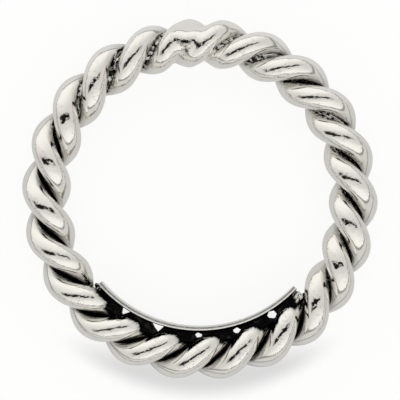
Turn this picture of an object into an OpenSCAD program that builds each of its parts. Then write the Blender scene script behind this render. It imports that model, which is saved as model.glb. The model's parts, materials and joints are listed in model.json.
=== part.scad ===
// Rope twist ring: two round silver wires twisted together, bent to a hoop and
// soldered shut, with a plain curved plate soldered inside the hoop.
// The ring lies flat: its axis is +Z, its lowest crests touch z = 0, the joint of
// the hoop is towards +Y and the plate towards -Y. Angles run clockwise from +Y,
// as seen from above. All lengths are in millimetres, angles in degrees.

/* [Twisted band] */
// Finger hole, measured across the innermost points of the twist
bore_d = 17.3; // [14:0.1:22]
// Thickness of each of the two wires
wire_d = 1.66; // [1.3:0.01:1.9]
// Length of one full turn of the twist, before it is fitted to a whole number of turns
lay = 5.85; // [5.2:0.05:9]
// How far the two wires are pressed and fused into each other where they touch
press = 0.04; // [0.01:0.01:0.1]
// Place of the first outer crest after the joint
first_crest_angle = 8.55; // [0:0.05:16]
// How much wider the hoop is along its long axis than across it
oval = 0.1; // [0:0.01:0.4]
// Direction of the hoop's long axis
oval_angle = -15; // [-90:1:90]

/* [Joint of the hoop] */
// Middle of the soldered joint
seam_angle = -4; // [-12:0.5:4]
// Length of the hoop over which solder fills the grooves
seam_len = 7; // [3:0.1:8]
// Thickness of the solder at the middle of the joint
seam_d = 2.94; // [2:0.02:3]

/* [Inner plate] */
// Middle of the plate
plate_angle = 181.3; // [150:0.1:210]
// Length of the plate round the finger hole
plate_arc = 95.8; // [40:0.1:120]
// Width of the plate along the finger
plate_w = 2.4; // [1.6:0.05:3]
// Thickness of the plate
plate_t = 0.28; // [0.2:0.01:0.5]
// Diameter of the solder under each crest that meets the plate
solder_d = 1.8; // [1:0.05:2.2]
// Rise of that solder above the back of the plate
solder_h = 0.25; // [0.15:0.01:0.3]

/* [Hidden] */

silver = [0.86, 0.86, 0.84];

// Where the twist runs slack or crowded. Columns: share of the way round from the
// first crest, slip of the twist there in crest spacings.
slip_table = [
    [0, -0.03], [0.25, 0.13], [0.34, 0.06], [0.59, 0],
    [0.73, 0.25], [0.91, 0.46], [0.955, 0.23], [1, -0.03]
];

// How the band rises over the plate. Columns: place from the plate's middle in
// halves of its arc, rise of the band in plate thicknesses.
rise_table = [[-1.65, 0], [-1.2, 0.7], [-0.85, 1.4], [-0.45, 1], [0.5, 1], [0.85, 0.7], [1.22, 0]];

wire_r = wire_d / 2;
twist_r = wire_r - press / 2;
hoop_r = bore_d / 2 + twist_r + wire_r;

// Half turns of the twist round the hoop: even, so that each wire meets itself.
crests = 2 * round(2 * PI * hoop_r / lay);
spacing = 360 / crests;

// Mesh of the band: sections in each half turn, points round each wire.
half_turn_steps = 10;
wire_points = 11;
step_count = crests * half_turn_steps;

// Averages a function of a place over a short reach, so that a table's corners are eased.
function eased(before, at, after) = (before + 2 * at + after) / 4;

// Angle of crest number n, where n may lie between crests or beyond one lap.
function plain_angle(n) =
    let (lap = floor(n / crests), share = n / crests - lap)
    first_crest_angle + 360 * (lap + share) + spacing * lookup(share, slip_table);
function crest_angle(n) = eased(plain_angle(n - 0.5), plain_angle(n), plain_angle(n + 0.5));

// Signed angle from the plate's middle, and the hoop's radius at an angle.
function from_plate(a) = a - plate_angle - 360 * round((a - plate_angle) / 360);
function plain_rise(a) = plate_t * lookup(from_plate(a) / (plate_arc / 2), rise_table);
function hoop_radius(a) =
    hoop_r + oval / 4 * cos(2 * (a - oval_angle))
    + eased(plain_rise(a - spacing / 4), plain_rise(a), plain_rise(a + spacing / 4));

function on_hoop(radius, a, height) = [radius * sin(a), radius * cos(a), height];

// Middle of wire s (0 or 1) at place n along the twist, and the middle of the rope there.
function wire_middle(n, s) =
    let (a = crest_angle(n), phase = 180 * (s - n))
    on_hoop(hoop_radius(a) + twist_r * cos(phase), a, twist_r * sin(phase));
function rope_middle(n) = on_hoop(hoop_radius(crest_angle(n)), crest_angle(n), 0);

// Point on the skin of wire s, u degrees round it from the side that faces the rope's middle.
function skin(n, s, u) =
    let (
        nudge = 0.01,
        along = unit(wire_middle(n + nudge, s) - wire_middle(n - nudge, s)),
        inward = rope_middle(n) - wire_middle(n, s),
        across = unit(inward - (inward * along) * along),
        side = cross(along, across)
    )
    wire_middle(n, s) + wire_r * (cos(u) * across + sin(u) * side);
function unit(v) = v / norm(v);

// The same point moved along the wire until it lies in the section at angle a.
section_passes = 4;
function skin_in_section(n, s, u, a, passes) =
    let (p = skin(n, s, u), off = atan2(p.x, p.y) - a, turn = off - 360 * round(off / 360))
    passes == 0 ? p : skin_in_section(n - turn / spacing, s, u, a, passes - 1);

// Share of the joint's solder at angle a: 1 in its middle, easing to 0 at its ends.
function seam_share(a) =
    let (off = a - seam_angle - 360 * round((a - seam_angle) / 360), reach = seam_len / hoop_r * 90 / PI)
    abs(off) >= reach ? 0 : (1 + cos(180 * off / reach)) / 2;

// Pushes a point of a section out to the solder that fills the grooves of the joint.
function filled(p, a) =
    let (m = on_hoop(hoop_radius(a), a, 0), d = p - m, fill = seam_share(a) * seam_d / 2)
    m + d * max(1, fill / norm(d));

// Angle round a wire at which its skin leaves the neck between the two wires. The
// section is a straight twist's: x and y of the skin turned by the way along it.
neck_clear = 5;
function neck_from(advance) =
    let (
        slope = norm([twist_r, advance]),
        leaves = [for (u = [30:2:170])
            let (
                turned = wire_r * sin(u) * twist_r / (slope * advance) * 180 / PI,
                seen = atan2(wire_r * advance / slope * sin(u), twist_r - wire_r * cos(u))
            )
            if (turned + seen < 90 - neck_clear) u]
    )
    leaves[0];

// One section of the band: the two wires' outlines, joined at the neck.
function section(n) =
    let (
        a = crest_angle(n),
        advance = (crest_angle(n + 0.5) - crest_angle(n - 0.5)) / 180 * hoop_radius(a),
        neck = neck_from(advance),
        step = (360 - 2 * neck) / (wire_points - 1)
    )
    [for (s = [0, 1], i = [0:wire_points - 1])
        filled(skin_in_section(n, s, neck + step * i, a, section_passes), a)];

band_points = [for (k = [0:step_count - 1]) each section(k / half_turn_steps)];

// Moves the ring so that the middle of its outline is the origin and it rests on z = 0.
function span(i) = [for (p = band_points) p[i]];
to_frame = [
    -(min(span(0)) + max(span(0))) / 2,
    -(min(span(1)) + max(span(1))) / 2,
    -min(span(2))
];

// The two wires, twisted, fused where they touch and closed at the joint.
module wires() {
    round_count = 2 * wire_points;
    faces = [for (k = [0:step_count - 1], i = [0:round_count - 1])
        let (
            this = k * round_count,
            next = (k + 1) % step_count * round_count,
            j = (i + 1) % round_count
        )
        each [[this + i, next + j, this + j], [this + i, next + i, next + j]]];
    polyhedron(points = band_points, faces = faces);
}

// The curved plate, square-cut at both ends. Its inner face continues the finger hole.
module plate() {
    rotate([0, 0, 90 - plate_angle - plate_arc / 2])
        rotate_extrude(angle = plate_arc, $fn = 180)
            translate([bore_d / 2, -plate_w / 2])
                square([plate_t, plate_w]);
}

// Solder between the plate and each inner crest that lies on it.
module seats() {
    margin = spacing / 4;
    for (n = [0:crests - 1]) {
        a = crest_angle(n);
        if (abs(from_plate(a)) < plate_arc / 2 - margin)
            rotate([0, 90, 90 - a])
                translate([0, 0, bore_d / 2 + plate_t / 2])
                    cylinder(d = solder_d, h = plate_t / 2 + solder_h, $fn = 48);
    }
}

// The whole ring: soldered silver, so one solid.
module twisted_band() {
    color(silver)
        translate(to_frame)
            union() {
                wires();
                plate();
                seats();
            }
}

twisted_band();
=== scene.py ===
# %% [markdown]
# # A rope twist ring
# Two round silver wires are twisted together like a rope, bent to a hoop and
# soldered shut. A thin curved plate is soldered inside the hoop, where a maker
# would put a mark; here it is bare. The grooves are blackened and the crests
# polished. The ring lies flat on a pale floor and is seen from straight above.

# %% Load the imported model
import bisect
import json
import math
import bpy
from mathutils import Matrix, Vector

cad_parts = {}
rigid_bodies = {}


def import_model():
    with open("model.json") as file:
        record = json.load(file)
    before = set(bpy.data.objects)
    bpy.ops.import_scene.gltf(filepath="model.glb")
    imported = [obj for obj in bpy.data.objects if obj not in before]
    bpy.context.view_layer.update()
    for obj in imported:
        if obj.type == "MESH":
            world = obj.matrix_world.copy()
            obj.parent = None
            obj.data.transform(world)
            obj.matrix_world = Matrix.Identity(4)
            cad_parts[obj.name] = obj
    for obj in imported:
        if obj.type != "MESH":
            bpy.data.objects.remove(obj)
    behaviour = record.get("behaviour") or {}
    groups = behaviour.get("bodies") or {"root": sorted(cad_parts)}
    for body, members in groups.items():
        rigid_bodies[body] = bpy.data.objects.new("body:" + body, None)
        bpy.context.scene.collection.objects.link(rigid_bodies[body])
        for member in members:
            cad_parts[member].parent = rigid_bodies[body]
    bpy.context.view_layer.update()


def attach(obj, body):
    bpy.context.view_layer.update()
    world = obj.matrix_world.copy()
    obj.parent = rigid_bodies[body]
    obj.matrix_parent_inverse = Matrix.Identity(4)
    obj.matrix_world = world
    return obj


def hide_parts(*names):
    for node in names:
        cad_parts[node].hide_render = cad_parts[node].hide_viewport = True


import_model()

# %% [markdown]
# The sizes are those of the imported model, so the dressed ring lies exactly where
# the solid does. Lengths are in millimetres until they reach Blender, which works
# in metres, and angles run clockwise from +Y, as seen from above.

# %% Sizes of the ring
mm = 0.001
bore_r = 17.3 / 2
wire_r = 1.66 / 2
press = 0.04
twist_r = wire_r - press / 2
hoop_r = bore_r + twist_r + wire_r
ring_middle = Vector((-0.0118, 0.1062, 1.64))
print("a rope", round(2 * (twist_r + wire_r), 2), "mm thick round a hole of", 2 * bore_r, "mm")

# %% [markdown]
# The twist isn't even all round: the maker's hands let it run slack in one place
# and crowd in another. A place along the twist is a number n, counted in half
# turns, so each whole n has an outer crest of one wire or the other. A short table
# says how far the crests have slipped, and a little averaging rounds its corners.

# %% Where the crests lie
crests = 22
spacing = 360 / crests
first_crest_angle = 8.55
# Columns: share of the way round from the first crest, slip of the twist there in crest spacings.
slip_table = [
    (0, -0.03), (0.25, 0.13), (0.34, 0.06), (0.59, 0),
    (0.73, 0.25), (0.91, 0.46), (0.955, 0.23), (1, -0.03),
]


def read_table(x, table):
    """The table's value at x, on straight lines between its rows."""
    if x <= table[0][0]:
        return table[0][1]
    for (x0, y0), (x1, y1) in zip(table, table[1:]):
        if x <= x1:
            return y0 + (y1 - y0) * (x - x0) / (x1 - x0)
    return table[-1][1]


def eased(before, at, after):
    return (before + 2 * at + after) / 4


def plain_angle(n):
    lap = math.floor(n / crests)
    share = n / crests - lap
    return first_crest_angle + 360 * (lap + share) + spacing * read_table(share, slip_table)


def crest_angle(n):
    return eased(plain_angle(n - 0.5), plain_angle(n), plain_angle(n + 0.5))


print("outer crests at", [round(crest_angle(n)) for n in range(crests)], "degrees")

# %% [markdown]
# The hoop isn't quite round either. It is a little longer along one axis, and the
# rope rises where it lies on the plate. Two helpers turn an angle, a radius and a
# height into a point of the shared frame, and back.

# %% The path of the hoop
oval = 0.1
oval_angle = -15
plate_angle = 181.3
plate_arc = 95.8
plate_t = 0.28
# Columns: place from the plate's middle in halves of its arc, rise of the rope in plate thicknesses.
rise_table = [(-1.65, 0), (-1.2, 0.7), (-0.85, 1.4), (-0.45, 1), (0.5, 1), (0.85, 0.7), (1.22, 0)]


def from_plate(a):
    return (a - plate_angle + 180) % 360 - 180


def plain_rise(a):
    return plate_t * read_table(from_plate(a) / (plate_arc / 2), rise_table)


def hoop_radius(a):
    stretch = oval / 4 * math.cos(math.radians(2 * (a - oval_angle)))
    return hoop_r + stretch + eased(plain_rise(a - spacing / 4), plain_rise(a), plain_rise(a + spacing / 4))


def on_hoop(radius, a, height=0):
    """A point in the shared frame, in metres."""
    turn = math.radians(a)
    return (ring_middle + Vector((radius * math.sin(turn), radius * math.cos(turn), height))) * mm


def off_hoop(p):
    """Angle of a point round the hoop, and its radius and height from the hoop's middle plane, in mm."""
    q = p / mm - ring_middle
    return math.degrees(math.atan2(q.x, q.y)), math.hypot(q.x, q.y), q.z


print("the rope's middle lies", [round(hoop_radius(a), 2) for a in range(0, 360, 45)], "mm out")

# %% [markdown]
# A twisted wire is a round bar that follows a long spiral bent into a ring. It
# could be a bent cylinder, but a curve with a round bevel keeps its thickness all
# the way, so each wire starts as a curve circle that is cut into many short
# pieces, and each of its points is then put where the twist carries it.

# %% Bend and twist the two wires
wire_steps = 8
nudge = 0.01


def select_only(piece):
    bpy.ops.object.select_all(action="DESELECT")
    piece.select_set(True)
    bpy.context.view_layer.objects.active = piece


def on_wire(n, s):
    """The middle of wire s, which is 0 or 1, at place n along the twist."""
    a = crest_angle(n)
    phase = math.radians(180 * (s - n))
    return on_hoop(hoop_radius(a) + twist_r * math.cos(phase), a, twist_r * math.sin(phase))


def twist_wire(name, s):
    """Wire s as a mesh; each half turn of its curve has wire_steps points."""
    bpy.ops.curve.primitive_bezier_circle_add(radius=hoop_r * mm)
    wire = bpy.context.object
    wire.name = name
    bpy.ops.object.mode_set(mode="EDIT")
    bpy.ops.curve.select_all(action="SELECT")
    bpy.ops.curve.subdivide(number_cuts=crests * wire_steps // 4 - 1)
    bpy.ops.object.mode_set(mode="OBJECT")
    for i, point in enumerate(wire.data.splines[0].bezier_points):
        n = i / wire_steps
        along = (on_wire(n + nudge, s) - on_wire(n - nudge, s)) / (2 * nudge) / (3 * wire_steps)
        point.handle_left_type = point.handle_right_type = "FREE"
        point.co = on_wire(n, s)
        point.handle_left = point.co - along
        point.handle_right = point.co + along
    wire.data.resolution_u = 4
    wire.data.bevel_depth = wire_r * mm
    wire.data.bevel_resolution = 18
    select_only(wire)
    bpy.ops.object.convert(target="MESH")
    print(name, len(wire.data.polygons), "faces")
    return wire


bpy.ops.object.select_all(action="DESELECT")
first_wire = twist_wire("first_wire", 0)
second_wire = twist_wire("second_wire", 1)

# %% [markdown]
# The hoop is closed where the wires' ends meet. On the real ring a core of solder
# fills the middle of the rope there. A saddle of it lies between two crests of the
# front and was filed over, so that they run on as one bright band; the back is done
# in the same way. A last bead fills the outer valley to the right of the joint.
# They could be lumps shaped by hand, but each of them runs along the wires, so each
# is a curve with a round bevel again, whose ends grow thin inside the wires.

# %% How a bead of solder is laid
full_until = 0.45
touching = 1e-7


def from_to(x, low, high):
    """0 below low, 1 above high, and a smooth rise between them."""
    x = min(1, max(0, (x - low) / (high - low)))
    return x * x * (3 - 2 * x)


def lay_bead(name, middle, reach, thick, path, thin):
    """A bead round place middle of the twist; path gives a place's distance outwards and upwards."""
    bpy.ops.curve.primitive_bezier_curve_add()
    bead = bpy.context.object
    bead.name = name
    bpy.ops.object.mode_set(mode="EDIT")
    bpy.ops.curve.select_all(action="SELECT")
    bpy.ops.curve.subdivide(number_cuts=7)
    bpy.ops.object.mode_set(mode="OBJECT")
    points = bead.data.splines[0].bezier_points
    for i, point in enumerate(points):
        way = 2 * i / (len(points) - 1) - 1
        a = crest_angle(middle + reach * way)
        out, up = path(reach * way)
        point.co = on_hoop(hoop_radius(a) + out, a, up)
        point.radius = 1 - thin * from_to(abs(way), full_until, 1)
        point.handle_left_type = point.handle_right_type = "AUTO"
    bead.data.bevel_depth = thick * mm
    bead.data.bevel_resolution = 14
    bead.data.resolution_u = 5
    bead.data.use_fill_caps = True
    select_only(bead)
    bpy.ops.object.convert(target="MESH")
    bpy.ops.object.mode_set(mode="EDIT")
    bpy.ops.mesh.select_all(action="SELECT")
    bpy.ops.mesh.remove_doubles(threshold=touching)
    bpy.ops.object.mode_set(mode="OBJECT")
    print(name, len(bead.data.polygons), "faces")
    return bead


print("a bead is full within", full_until, "of its reach and grows thin beyond")

# %% [markdown]
# The joint takes four beads: the core, a saddle on each side, and the outer fill.
# All four run straight along the hoop, each at its own distance from the middle of
# the rope.

# %% Lay the solder of the joint
joint = 21
joint_reach = 0.85
joint_thin = 0.35
# Columns: place along the twist, reach in its half turns, radius, distance outwards and upwards.
bead_table = {
    "core": (joint, joint_reach, 1.2, -0.18, 0),
    "front_saddle": (joint, 0.62, 1, 0.06, 0.56),
    "back_saddle": (joint, 0.62, 1, 0.06, -0.56),
    "outer_fill": (21.42, 0.5, 0.72, 0.46, 0.36),
}


def lay_along_hoop(name, middle, reach, thick, out, up):
    return lay_bead(name, middle, reach, thick, lambda step: (out, up), joint_thin)


beads = [lay_along_hoop(name, *row) for name, row in bead_table.items()]

# %% [markdown]
# Near the joint some grooves of the front are choked with rough metal, so they look
# shallower there. The wires could be pushed together, but that would spoil their
# round backs. A thinner bead that winds along the groove, halfway down, fills it.

# %% Choke some grooves
choke_off = 0.46
choke_reach = 0.42
choke_thin = 0.5
# Columns: place along the twist, thickness of the bead.
choke_table = [(18, 0.3), (19, 0.38), (20, 0.38), (22, 0.38), (23, 0.38), (25, 0.32)]


def down_groove(step):
    phase = math.radians(90 - 180 * step)
    return choke_off * math.cos(phase), choke_off * math.sin(phase)


chokes = [lay_bead(f"choke_{n}", n, choke_reach, thick, down_groove, choke_thin)
          for n, thick in choke_table]

# %% [markdown]
# The plate is a strip of sheet. The outer half of its edges was filed to slope down
# towards its back, and all corners are rubbed round. It could be cut from a tube,
# but it is easier to shape its cross-section first and to sweep it afterwards. The
# section is a small upright rectangle at one end of the arc. Each of its narrow
# sides gets one more corner, its back is narrowed, and its corners are bevelled.

# %% Draw the plate's cross-section
plate_w = 2.4
plate_round = 0.045
plate_flat = 0.15
plate_slope = 0.07
plate_start = plate_angle - plate_arc / 2
slope_from = bore_r + plate_flat
tolerance = 0.01


def draw_section(name, inner, width, thick, start):
    """An upright rectangle at angle start, whose inner side lies at radius inner."""
    bpy.ops.mesh.primitive_plane_add(size=1, rotation=(math.radians(90), 0, math.radians(90 - start)))
    section = bpy.context.object
    section.name = name
    section.location = on_hoop(inner + thick / 2, start)
    section.scale = (thick * mm, width * mm, 1)
    bpy.ops.object.transform_apply(location=True, rotation=True, scale=True)
    return section


def select_corners(piece, wanted):
    """Selects the corners of a mesh for which wanted is true, and goes into edit mode."""
    for part in [*piece.data.edges, *piece.data.polygons]:
        part.select = False
    for vertex in piece.data.vertices:
        vertex.select = wanted(vertex)
    print(piece.name, sum(v.select for v in piece.data.vertices), "corners selected")
    bpy.ops.object.mode_set(mode="EDIT")


plate = draw_section("inner_plate", bore_r, plate_w, plate_t, plate_start)
outwards = Vector((math.sin(math.radians(plate_start)), math.cos(math.radians(plate_start)), 0))
bpy.ops.object.mode_set(mode="EDIT")
bpy.ops.mesh.select_all(action="SELECT")
bpy.ops.mesh.bisect(plane_co=on_hoop(slope_from, plate_start), plane_no=outwards)
bpy.ops.mesh.dissolve_edges(use_verts=False)
bpy.ops.object.mode_set(mode="OBJECT")
select_corners(plate, lambda vertex: off_hoop(vertex.co)[1] > slope_from + tolerance)
bpy.ops.transform.resize(value=(1, 1, 1 - 2 * plate_slope / plate_w), center_override=ring_middle * mm)
bpy.ops.mesh.select_all(action="SELECT")
bpy.ops.mesh.bevel(offset=plate_round * mm, segments=4, affect="VERTICES", clamp_overlap=False)
bpy.ops.object.mode_set(mode="OBJECT")

# %% [markdown]
# Spinning the cross-section round the finger hole's axis sweeps the strip in one
# go. Only the section's edges are spun, and both ends are closed afterwards.

# %% Sweep the plate
plate_steps = 120
seam_gap = 1e-6


def sweep(section, arc, steps, cuts=0):
    """Spins a cross-section to a closed strip; cuts divide each edge of the section first."""
    select_only(section)
    bpy.ops.object.mode_set(mode="EDIT")
    bpy.ops.mesh.select_all(action="SELECT")
    bpy.ops.mesh.delete(type="ONLY_FACE")
    bpy.ops.mesh.select_all(action="SELECT")
    if cuts:
        bpy.ops.mesh.subdivide(number_cuts=cuts)
    bpy.ops.mesh.select_all(action="SELECT")
    bpy.ops.mesh.spin(steps=steps, angle=math.radians(arc), center=ring_middle * mm, axis=(0, 0, 1))
    bpy.ops.mesh.select_all(action="SELECT")
    bpy.ops.mesh.remove_doubles(threshold=seam_gap)
    bpy.ops.mesh.select_all(action="DESELECT")
    bpy.ops.mesh.select_non_manifold()
    bpy.ops.mesh.edge_face_add()
    bpy.ops.mesh.select_all(action="SELECT")
    bpy.ops.mesh.normals_make_consistent(inside=False)
    bpy.ops.object.mode_set(mode="OBJECT")
    size = [round(c / mm, 2) for c in section.dimensions]
    print(section.name, len(section.data.polygons), "faces, size in mm:", size)


sweep(plate, plate_arc, plate_steps)

# %% [markdown]
# Solder has run along the whole back of the plate and fills the corner between it
# and the crests. It is swept like the plate, and then its skin is shaken a little
# out of place and smoothed, so that it looks cast and not machined. The seed keeps
# the shaking the same in each run.

# %% Run solder along the back of the plate
plate_back = bore_r + plate_t
solder_w = 1.7
solder_t = 0.8
solder_sunk = 0.06
solder_steps = 110
start_bare = 0.6
end_bare = 0.8
shake = 0.03
solder_start = plate_start + start_bare
solder = draw_section("plate_solder", plate_back - solder_sunk, solder_w, solder_t, solder_start)
sweep(solder, plate_arc - (start_bare + end_bare), solder_steps, cuts=5)
bpy.ops.object.mode_set(mode="EDIT")
bpy.ops.mesh.select_all(action="SELECT")
bpy.ops.transform.vertex_random(offset=shake * mm, uniform=1, seed=12)
bpy.ops.mesh.vertices_smooth(factor=0.5, repeat=1)
bpy.ops.object.mode_set(mode="OBJECT")

# %% [markdown]
# Five small openings were left in the solder, through which one can see. White
# spots in the material would look right from above only, so they are real holes,
# cut with rods of three to six sides. At the plate's ends the solder has run out
# into small lumps, which are flattened balls.

# %% Rods for the openings and lumps at the ends
rod_length = 4
# Columns: angle, radius, length and width of the opening, its number of sides and how far it is turned.
opening_table = [
    (148.4, 9.24, 0.68, 0.62, 6, 10),
    (164.4, 9.27, 0.6, 0.48, 5, 20),
    (180.4, 9.24, 0.54, 0.42, 5, 45),
    (197.8, 9.11, 1.08, 0.8, 3, 6),
    (213.2, 9.08, 0.8, 0.78, 3, -8),
]
# Columns: angle, distance behind the plate, height, and the lump's length, thickness and width.
lump_table = [
    (135.6, 0.28, 0.3, 0.76, 0.56, 1.5),
    (136.6, 0.55, 0.55, 0.55, 0.4, 1.2),
    (228.2, 0.12, 0.1, 0.7, 0.4, 1.3),
]


def place_piece(piece, radius, a, height, size):
    """Puts a piece of size 1 on the hoop, with its first size along it."""
    piece.scale = Vector(size) * mm
    piece.rotation_euler = (0, 0, -math.radians(a))
    piece.location = on_hoop(radius, a, height)
    bpy.ops.object.transform_apply(location=True, rotation=True, scale=True)
    return piece


def add_rod(a, radius, length, width, sides, turn):
    bpy.ops.mesh.primitive_cylinder_add(vertices=sides, radius=0.5, depth=rod_length)
    rod = bpy.context.object
    rod.rotation_euler = (0, 0, math.radians(turn))
    bpy.ops.object.transform_apply(location=False, rotation=True, scale=False)
    return place_piece(rod, radius, a, 0, (length, width, 1))


def add_lump(a, behind, height, *size):
    bpy.ops.mesh.primitive_uv_sphere_add(segments=24, ring_count=14, radius=0.5)
    return place_piece(bpy.context.object, plate_back + behind, a, height, size)


rods = [add_rod(*row) for row in opening_table]
lumps = [add_lump(*row) for row in lump_table]
print(len(rods), "openings and", len(lumps), "lumps")

# %% [markdown]
# Soldered silver is one solid, so the wires, the plate and the solder are fused by
# Boolean unions, and the rods are taken away by Boolean differences. A remesh would
# fuse them too, but it would blur the sharp lines where two wires meet. Pieces that
# overlap are fused one by one; pieces that lie apart are joined first.

# %% Solder the wires together
def join(pieces):
    """Makes one object of pieces that lie apart."""
    bpy.ops.object.select_all(action="DESELECT")
    for piece in pieces:
        piece.select_set(True)
    bpy.context.view_layer.objects.active = pieces[0]
    bpy.ops.object.join()
    return pieces[0]


def fuse(body, other, operation="UNION"):
    select_only(body)
    boolean = body.modifiers.new("solder", "BOOLEAN")
    boolean.operation = operation
    boolean.solver = "EXACT"
    boolean.object = other
    bpy.ops.object.modifier_apply(modifier="solder")
    bpy.data.objects.remove(other)


band = first_wire
fuse(band, second_wire)
for bead in beads:
    fuse(band, bead)
print("wires and joint:", len(band.data.polygons), "faces")

# %% [markdown]
# Where two pieces meet in the joint, a file has rounded the corner. A bevel needs
# neater edges than a Boolean leaves, so the corners are found by their sharpness
# and smoothed together with the skin round them.

# %% Round the corners of the joint
sharp = 12
joint_half_arc = crest_angle(joint + joint_reach) - crest_angle(joint)


def in_joint(p):
    a, radius, height = off_hoop(p)
    return abs((a - crest_angle(joint) + 180) % 360 - 180) < joint_half_arc


def smooth_around(rings, repeat):
    """Smooths the selected corners with so many more rings of corners round them."""
    for ring in range(rings):
        bpy.ops.mesh.select_more()
    bpy.ops.mesh.vertices_smooth(factor=0.5, repeat=repeat)


select_only(band)
bpy.ops.object.mode_set(mode="EDIT")
bpy.ops.mesh.select_mode(type="EDGE")
bpy.ops.mesh.select_all(action="DESELECT")
bpy.ops.mesh.edges_select_sharp(sharpness=math.radians(sharp))
bpy.ops.mesh.select_mode(type="VERT")
bpy.ops.object.mode_set(mode="OBJECT")
select_corners(band, lambda vertex: vertex.select and in_joint(vertex.co))
smooth_around(2, repeat=20)
smooth_around(2, repeat=6)
bpy.ops.object.mode_set(mode="OBJECT")

# %% [markdown]
# Left of the joint the wire's shoulder was filed down to a slope that faces
# outwards. With a mouse this would be a stroke of a sculpting brush. In code it is a
# proportional move: the skin is pushed in, and its surroundings follow smoothly.

# %% File the shoulder
shoulder_place = 20.85
shoulder_out = 1.33
shoulder_up = 0.9
filed_off = 0.22
filed_spot = 0.3
filed_reach = 0.6
a = crest_angle(shoulder_place)
shoulder = on_hoop(hoop_radius(a) + shoulder_out, a, shoulder_up)
inwards = on_hoop(hoop_radius(a), a) - shoulder
select_corners(band, lambda vertex: (vertex.co - shoulder).length < filed_spot * mm)
bpy.ops.transform.translate(value=inwards.normalized() * filed_off * mm, use_proportional_edit=True,
                            proportional_edit_falloff="SMOOTH", proportional_size=filed_reach * mm)
smooth_around(4, repeat=14)
bpy.ops.object.mode_set(mode="OBJECT")

# %% [markdown]
# Where the solder of the joint didn't take, a patch of small pits and grains is
# left in its front. The grains are left to the material, but the pits are deep
# enough to show as shapes. A pit is a small ball whose middle lies on the skin,
# found by looking down from above, and which is taken away. The choked grooves come
# after the pits, so that no pit cuts them.

# %% Pit the joint
look_from = 3
# Columns: angle and radius of the pit, width of the pit.
pit_table = [
    (352.2, 10.36, 0.2), (353.2, 10.48, 0.18), (353.4, 10.2, 0.24), (354.4, 10.42, 0.22),
    (354.6, 10.08, 0.2), (355.5, 10.34, 0.24), (356.5, 10.2, 0.18), (353.6, 9.86, 0.22),
    (355.2, 9.74, 0.24), (356.3, 9.9, 0.16), (354.2, 9.5, 0.2), (357.2, 10.02, 0.14),
]
pits = []
for a, radius, width in pit_table:
    above = on_hoop(radius, a, look_from)
    hit, skin, normal, face = band.ray_cast(above, Vector((0, 0, -1)))
    bpy.ops.mesh.primitive_ico_sphere_add(subdivisions=2, radius=width / 2 * mm, location=skin)
    bpy.ops.object.transform_apply(location=True, rotation=True, scale=True)
    pits.append(bpy.context.object)
for pit in pits[1:]:
    fuse(pits[0], pit)
fuse(band, pits[0], "DIFFERENCE")
fuse(band, join(chokes))
print("pitted and choked band:", len(band.data.polygons), "faces")

# %% [markdown]
# The plate and the solder behind it come last, because the rods have to go through
# the solder alone. Then faces that meet at a shallow angle are shaded as one skin.

# %% Solder the plate in
crease = 35
fuse(solder, join(rods), "DIFFERENCE")
fuse(solder, plate)
fuse(solder, lumps[0])
fuse(solder, join(lumps[1:]))
fuse(band, solder)
band.name = "rope_twist_band"
select_only(band)
bpy.ops.object.shade_smooth_by_angle(angle=math.radians(crease))
print("whole band:", len(band.data.polygons), "faces")

# %% [markdown]
# The ring was dipped in a blackening bath and then polished. The wheel reaches the
# crests and not the depths, so how black a point is depends on how near it lies to
# the rope's middle, or to the corner behind the plate. It could be painted by hand,
# or baked from how little light reaches each point. But the distances are known
# here, so they are worked out for each point and kept on the mesh as attributes,
# and the material adds the ragged edge.

# %% How black the grooves are
groove_fade = 0.6
# Columns: angle round the hoop, distance from the rope's middle up to which the groove is fully black.
reach_table = [(-50, 0.44), (-38, 0.58), (-12, 0.58), (0, 0.48), (55, 0.48), (75, 0.44)]


def from_middle(p):
    a, radius, height = off_hoop(p)
    return math.hypot(radius - hoop_radius(a), height)


def fading(x, full, fade):
    """1 at full, from there to 0 over a length of fade, and below 0 beyond."""
    return 1 - (x - full) / fade


def groove_blackness(p):
    """1 well down in a groove, 0 where the patina fades out, and below 0 on the polished skin."""
    a, radius, height = off_hoop(p)
    return fading(from_middle(p), read_table(a, reach_table), groove_fade)


print("black in the rope's middle:", round(groove_blackness(on_hoop(hoop_r, 90)), 2))

# %% [markdown]
# Close behind the plate all of the solder is black, and further out only the middle
# of its width. One lump at the plate's right end was polished bare. In the joint the
# pitted patch is black as well: fully in its upper part, and faintly in its lower.

# %% How black the solder is
corner_start = -0.04
corner_black = 0.25
corner_fade = 0.3
solder_end = 1.5
inside_black = 0.65
inside_fade = 0.4
inside_half_width = 0.8
inside_side_fade = 0.3
bare_angle = 135
bare_radius = 9.28
bare_edge = (0.3, 0.42)
degrees_in_mm = 6
patch_angle = -5
patch_radius = 10
faint_black = 0.45
faint_fade = 0.7
# The patch's upper and lower part. Columns: radius of its middle, half its length, half its width.
patch_table = [(10.38, 0.46, 0.2), (9.85, 0.36, 0.5)]


def off_pits(p):
    """Distances from the upper and the lower part of the joint's pitted patch, in halves of their sizes."""
    a, radius, height = off_hoop(p)
    along = math.radians(a - patch_angle) * patch_radius
    return [math.hypot(along / half_length, (radius - middle) / half_width)
            for middle, half_length, half_width in patch_table]


def corner_blackness(p):
    """The same as groove_blackness, for the corner behind the plate."""
    a, radius, height = off_hoop(p)
    behind = radius - plate_back
    past_end = abs(from_plate(a)) - plate_arc / 2
    if behind < corner_start or past_end > solder_end:
        return -1
    inside = min(fading(abs(height), inside_half_width, inside_side_fade),
                 fading(behind, inside_black, inside_fade))
    return max(fading(behind, corner_black, corner_fade), inside)


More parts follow.
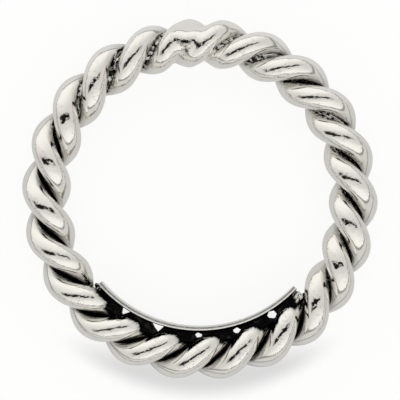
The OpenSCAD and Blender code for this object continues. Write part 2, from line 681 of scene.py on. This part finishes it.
def blackness(p):
    """How black a point is, whether it lies in a groove, behind the plate or among the pits."""
    a, radius, height = off_hoop(p)
    upper, lower = off_pits(p)
    in_pits = max(1 - upper, faint_black - faint_fade * lower) if height > 0 else -1
    from_lump = math.hypot(radius - bare_radius, (a - bare_angle) / degrees_in_mm)
    black_here = min(1, max(-1, groove_blackness(p), corner_blackness(p), in_pits))
    return black_here * from_to(from_lump, *bare_edge)


print("black behind the plate:", blackness(on_hoop(plate_back, plate_angle)))

# %% [markdown]
# Three more values are kept for each point. The outermost line of each crest is rubbed by wear. In the
# grooves near the joint and on the right the patina is streaky and grainy, so that bright metal shows in
# it. The plate's narrow edge is duller than the rest, and most so in its inner half, which no file has
# touched. That inner half is also painted darker, as a painted dark reflection.

# %% Where the skin is rubbed, grainy, or dull and painted dark
# Columns: angle round the hoop, share of the groove's skin that has stayed streaky and bright.
grain_table = [
    (-180, 0), (-82, 0.05), (-70, 0.6), (-5, 0.8), (12, 1),
    (70, 1), (82, 0.8), (128, 0.7), (136, 0), (180, 0),
]
# A pair that is called an edge holds the two places between which something fades.
rub_edge = (1.53, 1.61)
lump_grain = 0.7
lump_radius = 9.45
lump_angles = (227, 232)
outside_loss = 0.75
outside_edge = (-0.15, 0.35)
outside_from = (16, 24)
pit_grain = 0.9
pit_edge = (1, 1.6)
slope_loss = 0.6
slope_edge = (slope_from - 0.03, slope_from + 0.08)
side_edge = (plate_w / 2 - 0.14, plate_w / 2 - 0.1)
back_margin = 0.03
end_margin = 0.5


def rubbed(p):
    """1 on the outermost line of each crest, where the ring rubs."""
    return from_to(from_middle(p), *rub_edge)


def grainy(p):
    """How much bright grain shows in the patina; on the right it is less towards the outside."""
    a, radius, height = off_hoop(p)
    if radius < lump_radius and lump_angles[0] < a % 360 < lump_angles[1]:
        return lump_grain
    outside = from_to(radius - hoop_radius(a), *outside_edge) * from_to(a, *outside_from)
    in_groove = read_table(a, grain_table) * (1 - outside_loss * outside)
    return max(in_groove, pit_grain - from_to(min(off_pits(p)), *pit_edge))


# This value also makes the plate's inner edge darker in colour: a painted dark reflection.
def dull_and_painted_dark(p):
    """1 on the inner half of the plate's narrow edge, less on its slope and 0 elsewhere."""
    a, radius, height = off_hoop(p)
    if radius > plate_back + back_margin or abs(from_plate(a)) > plate_arc / 2 + end_margin:
        return 0
    return (1 - slope_loss * from_to(radius, *slope_edge)) * from_to(abs(height), *side_edge)


print("rubbed on a crest:", rubbed(on_hoop(hoop_r + twist_r + wire_r, 90)))

# %% [markdown]
# The wires were drawn through a die, which left fine lines along them, and the
# patina streaks the same way. So each point also keeps where it would lie if the
# twist were undone. There the rope runs along Z, and it is shortened so much that
# a noise of this place is drawn out to lines.

# %% Undo the twist, and keep all of it on the mesh
rows_each_half_turn = 20
shortened = 50
place_rows = [(crest_angle(k / rows_each_half_turn), k / rows_each_half_turn)
              for k in range(crests * rows_each_half_turn + 1)]
place_angles = [row[0] for row in place_rows]


def untwisted(p):
    """The point in a rope whose twist is undone: across it in mm, and along it much shortened."""
    a, radius, height = off_hoop(p)
    lap_angle = (a - place_angles[0]) % 360 + place_angles[0]
    row = min(bisect.bisect(place_angles, lap_angle), len(place_rows) - 1)
    n = read_table(lap_angle, place_rows[row - 1:row + 1])
    turned = math.atan2(height, radius - hoop_radius(a)) + math.pi * n
    across = Vector((math.cos(turned), math.sin(turned), 0)) * from_middle(p)
    return across + Vector((0, 0, abs(a) / shortened))


lines = band.data.attributes.new("untwisted", "FLOAT_VECTOR", "POINT")
lines.data.foreach_set("vector", [c for v in band.data.vertices for c in untwisted(v.co)])
for name, rule in [("black", blackness), ("rub", rubbed), ("grain", grainy), ("dull_and_painted_dark", dull_and_painted_dark)]:
    found = [rule(v.co) for v in band.data.vertices]
    values = band.data.attributes.new(name, "FLOAT", "POINT")
    values.data.foreach_set("value", found)
    print(name, "from", round(min(found), 2), "to", round(max(found), 2))

# %% [markdown]
# One material is silver and patina at once, because the two fade into each other.
# Its nodes are added by short helpers, each of which gives back the socket that
# holds its result. The variable called tree is the node tree that is being built.

# %% Helpers for shader nodes
# A Mix node's inputs go by number: 0 is the share, 2 and 3 are numbers, 6 and 7 are colours.
def add_node(kind, inputs=None, **settings):
    node = tree.nodes.new("ShaderNode" + kind)
    for name, value in settings.items():
        setattr(node, name, value)
    for socket, value in (inputs or {}).items():
        if isinstance(value, bpy.types.NodeSocket):
            tree.links.new(value, node.inputs[socket])
        else:
            node.inputs[socket].default_value = value
    return node


def calculate(operation, *values):
    return add_node("Math", dict(enumerate(values)), operation=operation).outputs[0]


def times(first, second):
    return calculate("MULTIPLY", first, second)


def smooth_step(value, low, high, bottom=0, top=1):
    """Goes smoothly from bottom to top while the value goes from low to high."""
    return add_node("MapRange", {"Value": value, "From Min": low, "From Max": high, "To Min": bottom,
                                 "To Max": top}, interpolation_type="SMOOTHSTEP").outputs["Result"]


def blend(share, first, second):
    return add_node("Mix", {0: share, 2: first, 3: second}).outputs[0]


def blend_colours(share, first, second):
    return add_node("Mix", {0: share, 6: first, 7: second}, data_type="RGBA").outputs[2]


silver = bpy.data.materials.new("blackened_silver")
silver.use_nodes = True
tree = silver.node_tree
shader = tree.nodes["Principled BSDF"]
place = add_node("TexCoord").outputs["Object"]
along_wires = add_node("Attribute", attribute_name="untwisted").outputs["Vector"]
depth, rub, rough_groove, plate_edge_dull_and_dark = [add_node("Attribute", attribute_name=name).outputs["Fac"]
                                   for name in ["black", "rub", "grain", "dull_and_painted_dark"]]
print("silver:", len(tree.nodes), "nodes so far")

# %% [markdown]
# The patina begins where the black value, shaken by two kinds of noise, passes a limit: one noise makes the
# edge ragged, and the other draws it out along the wires. Just above the edge a veil of tarnish lies. The
# inner half of the plate's narrow edge is greyed with the same tarnish colour, and there it is a painted
# dark reflection. In streaky grooves bright grains break through the patina.

# %% Where the patina lies
ragged_by = 0.3
drawn_out_by = 0.7
worn_edge = (0.18, 0.55)
veil_edge = (-0.45, 0.3)
veil_share = 0.4
painted_dark_edge = (0.4, 1)
painted_dark_share = 0.55
grain_spread = 0.12
grain_lift = 0.07
grains_edge = (0.545, 0.575)
speckle_edge = (0, 0.3)
fine_edge = (0.5, 0.8)
fine_grain_share = 0.6
fine_streak_share = 0.4


def noise(scale, detail=2, where=place):
    return add_node("TexNoise", {"Vector": where, "Scale": scale, "Detail": detail}).outputs["Fac"]


def shaken(value, amount):
    """A noise's value times amount, moved so that its middle is 0."""
    return calculate("MULTIPLY_ADD", value, amount, -amount / 2)


streak = noise(scale=7, detail=3, where=along_wires)
ragged = shaken(noise(scale=1500, detail=4), ragged_by)
edge = calculate("ADD", depth, calculate("ADD", ragged, shaken(streak, drawn_out_by)))
worn = smooth_step(calculate("MULTIPLY_ADD", rough_groove, grain_spread, edge), *worn_edge)
deep_veil = smooth_step(edge, *veil_edge, 0, veil_share)
# Tarnish above the patina's edge, and on the plate's inner edge a painted dark reflection.
tarnish_and_painted_dark = calculate("MAXIMUM", deep_veil, smooth_step(plate_edge_dull_and_dark, *painted_dark_edge, 0, painted_dark_share))
fine_streak = noise(scale=14, detail=1, where=along_wires)
fine_grain = times(noise(scale=4000, detail=1), fine_grain_share)
fine = calculate("MULTIPLY_ADD", fine_streak, fine_streak_share, fine_grain)
grain_or_streak = blend(smooth_step(rough_groove, *fine_edge), streak, fine)
grains = smooth_step(calculate("MULTIPLY_ADD", rough_groove, grain_lift, grain_or_streak), *grains_edge)
speckle = times(grains, smooth_step(rough_groove, *speckle_edge))
patina = times(worn, calculate("SUBTRACT", 1, speckle))
print("patina:", len(tree.nodes), "nodes so far")

# %% [markdown]
# Polished silver is a metal with a very low roughness; what one sees in it is the
# room. The patina is nearly black, with a little grey dust, and much rougher.

# %% Colour and shine
bright = (0.93, 0.912, 0.857, 1)
# Grey of the tarnish, also used for the painted dark reflection on the plate's inner edge.
grey_of_tarnish_and_painted_dark = (0.3, 0.294, 0.277, 1)
sooty = (0.005, 0.005, 0.005, 1)
dusty = (0.045, 0.043, 0.038, 1)
white = (1, 1, 1, 1)
black = (0, 0, 0, 1)
polished_roughness = 0.06
patina_roughness = 0.42
filed_dullness = 0.5
dust_edge = (0.5, 0.75)
soot = blend_colours(smooth_step(noise(scale=2600, detail=4), *dust_edge), sooty, dusty)
colour = blend_colours(patina, blend_colours(tarnish_and_painted_dark, bright, grey_of_tarnish_and_painted_dark), soot)
dull = calculate("MAXIMUM", patina, times(plate_edge_dull_and_dark, filed_dullness))
shine = smooth_step(dull, 0, 1, polished_roughness, patina_roughness)
shader.inputs["Metallic"].default_value = 1
tree.links.new(colour, shader.inputs["Base Color"])
tree.links.new(blend_colours(patina, white, black), shader.inputs["Specular Tint"])
tree.links.new(shine, shader.inputs["Roughness"])
print("colour and shine:", len(tree.nodes), "nodes so far")

# %% [markdown]
# The skin isn't perfectly even. Hand polishing has left tiny waves where the ring
# rubs, wear has left pocks, and drawing has left lines along the wires. The patina
# is grainy. All of these are far too fine for the mesh, so they are bumps, which
# only tilt the mirrored light.

# %% Fine relief
# Heights of the bumps, in metres.
wave_height = 0.000026
pock_height = 0.000009
line_height = 0.0000035
grain_height = 0.00005
pock_edge = (0.6, 0.68)


def bump(height, distance, under=None):
    inputs = {"Strength": 1, "Distance": distance, "Height": height}
    if under:
        inputs["Normal"] = under
    return add_node("Bump", inputs).outputs["Normal"]


waved = bump(times(noise(scale=2200, detail=1), rub), wave_height)
pocks = times(smooth_step(noise(scale=4500), *pock_edge), rub)
pocked = bump(pocks, pock_height, waved)
drawn = bump(noise(scale=11, where=along_wires), line_height, pocked)
grained = bump(times(noise(scale=5200, detail=3), worn), grain_height, drawn)
tree.links.new(grained, shader.inputs["Normal"])
band.data.materials.clear()
band.data.materials.append(silver)
print("silver:", len(tree.nodes), "nodes")

# %% [markdown]
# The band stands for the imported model's one part, and it rides on the root body,
# because nothing on the ring moves.

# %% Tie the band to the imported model
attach(band, "root")
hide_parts("twisted_band")
print(band.name, "replaces twisted_band")

# %% [markdown]
# Polished silver shows the studio more than itself. Above the ring is a bright
# tent of cloth, brighter to its sides. A dark gap runs through it, which is wide
# on the left and narrows to a slit past the lens. The tent ends in a dark hem, and
# below it the far table shows grey. These could be real sheets of cloth round the
# ring, but they are far away, so each is a function of direction alone, and the
# world shader paints it.

# %% Directions in the studio
world = bpy.data.worlds.new("studio")
bpy.context.scene.world = world
world.use_nodes = True
tree = world.node_tree
towards = add_node("TexCoord").outputs["Generated"]


def direction(azimuth, zenith):
    """A unit vector: azimuth clockwise from +Y, zenith angle from straight up, in degrees."""
    turn, tip = math.radians(azimuth), math.radians(zenith)
    return (math.sin(tip) * math.sin(turn), math.sin(tip) * math.cos(turn), math.cos(tip))


def angle_above(azimuth, zenith):
    """Degrees by which a direction lies above the plane across this one."""
    inputs = {0: towards, 1: direction(azimuth, zenith)}
    sine = add_node("VectorMath", inputs, operation="DOT_PRODUCT").outputs["Value"]
    return times(calculate("ARCSINE", sine), 180 / math.pi)


across = angle_above(345, 96)
along = angle_above(75, 90)
height = angle_above(342, 16)
print("three angles of the studio:", len(tree.nodes), "nodes so far")

# %% [markdown]
# Two of the angles go with the gap: one is measured across it, and one along it.
# The third is the height above a plane that leans, so that the hem stands higher on
# the plate's side. Every edge in the studio is soft, as cloth out of focus is.

# %% Paint the studio that the silver mirrors
gap_glow = 0.012
tent_middle_glow = 0.69
far_table_glow = 0.68
hem_share = 0.45
warm_white = (1, 0.985, 0.97, 1)
# Each pair holds the two angles between which an edge fades, in degrees.
gap_start = (-66, -48)
tent_sides = (8, 60)
hem_bottom = (3.5, 6)
hem_top = (9, 11.5)
# The gap's wide part and its slit. Columns: its lower edge, its upper edge, and its end along the gap.
gap_table = [((-12, -8), (4, 16), (-14, 6)), ((-8, -5), (4, 11), (36, 54))]


def gap_part(lower_edge, upper_edge, end):
    """1 inside one part of the gap, 0 outside it."""
    between = times(smooth_step(across, *lower_edge), smooth_step(across, *upper_edge, 1, 0))
    return times(between, smooth_step(along, *end, 1, 0))


wide_part, slit = [gap_part(*row) for row in gap_table]
opening = times(calculate("MAXIMUM", wide_part, slit), smooth_step(along, *gap_start))
gap = smooth_step(opening, 0, 1, 1, gap_glow)
beside = calculate("ABSOLUTE", across)
tent = times(smooth_step(beside, *tent_sides, tent_middle_glow, 1), gap)
above_hem = smooth_step(height, *hem_top)
hem = times(smooth_step(height, *hem_bottom), smooth_step(height, *hem_top, 1, 0))
glow = times(blend(above_hem, far_table_glow, tent), smooth_step(hem, 0, 1, 1, hem_share))
background = tree.nodes["Background"]
background.inputs["Color"].default_value = warm_white
tree.links.new(glow, background.inputs["Strength"])
print("studio:", len(tree.nodes), "nodes")

# %% [markdown]
# The floor is a plain pale light table, whose film sends most of its light straight
# up and less to the sides. The silver mirrors its sideways glow, which is a little
# stronger beyond the joint than elsewhere. The ring's own soft shadow lies on it.
# A floor that glows shows no cast shadow, so this one is painted into the glow by
# its distance from the ring. The light comes from beyond the joint, so the shadow
# shows only below the plate.

# %% Table with the ring's shadow
floor_size = 2
shadow = 0.28
# Pairs of distances from the ring's middle, in metres, between which the shadow fades.
shadow_edge = (0.0124, 0.0139)
shadow_start = (-0.0117, -0.0088)

bpy.ops.mesh.primitive_plane_add(size=floor_size)
floor = bpy.context.object
floor.name = "floor"
table = bpy.data.materials.new("pale_table")
table.use_nodes = True
tree = table.node_tree
shader = tree.nodes["Principled BSDF"]
spot = add_node("TexCoord").outputs["Object"]
from_ring = add_node("VectorMath", {0: spot}, operation="LENGTH").outputs["Value"]
north = add_node("SeparateXYZ", {0: spot}).outputs["Y"]
around_ring = smooth_step(from_ring, *shadow_edge, 1, 0)
below_plate = smooth_step(north, *shadow_start, 1, 0)
shade = calculate("MULTIPLY_ADD", times(around_ring, below_plate), -shadow, 1)
print("table's shadow:", len(tree.nodes), "nodes so far")

# %% [markdown]
# How much the table glows depends on how it is looked at, as with a real light
# table. A Layer Weight node tells how far a view is from upright: its Facing is 0
# from straight above, and near 1 from the side.

# %% Light the table
glow_up = 0.86
glow_sideways = 0.5
glow_beyond_joint = 0.6
far_share = 0.5
grey = (0.2, 0.2, 0.2, 1)
joint_side = (0.005, 0.014)
almost_upright = (0.01, 0.06)
almost_level = (0.82, 0.95)

facing = add_node("LayerWeight", {"Blend": 0.5}).outputs["Facing"]
far_away = smooth_step(facing, *almost_level, 1, far_share)
sideways = times(smooth_step(north, *joint_side, glow_sideways, glow_beyond_joint), far_away)
from_above = smooth_step(facing, *almost_upright, 1, 0)
lit = blend(from_above, sideways, glow_up)
shader.inputs["Roughness"].default_value = 1
shader.inputs["Specular IOR Level"].default_value = 0
shader.inputs["Emission Color"].default_value = white
tree.links.new(blend_colours(shade, black, grey), shader.inputs["Base Color"])
tree.links.new(times(lit, shade), shader.inputs["Emission Strength"])
floor.data.materials.append(table)
print("light table:", len(tree.nodes), "nodes")

# %% [markdown]
# The camera looks straight down from far away, with a lean of about one degree, as
# in the photograph. Its lens is long enough that a pixel of the render is as wide
# as one of the photo on the ring.

# %% Camera
# Lengths are in millimetres, and off_middle is in photo pixels.
photo_px = 0.0669
photo_width = 400
off_middle = (0.4, -3)
away = 200
lean = math.radians(1.2)
lens = bpy.data.cameras.new("camera")
camera = bpy.data.objects.new("camera", lens)
bpy.context.scene.collection.objects.link(camera)
bpy.context.scene.camera = camera
lens.sensor_width = 36
lens.lens = lens.sensor_width * away / (photo_width * photo_px)
lens.clip_start = 0.01
lens.clip_end = 10
aim = ring_middle + Vector((off_middle[0] * photo_px, off_middle[1] * photo_px, 0))
camera.rotation_euler = (0, lean, 0)
camera.location = (aim + away * Vector((math.sin(lean), 0, math.cos(lean)))) * mm
bpy.context.scene.view_settings.view_transform = "Standard"
print("camera:", round(lens.lens), "mm lens,", away, "mm away")
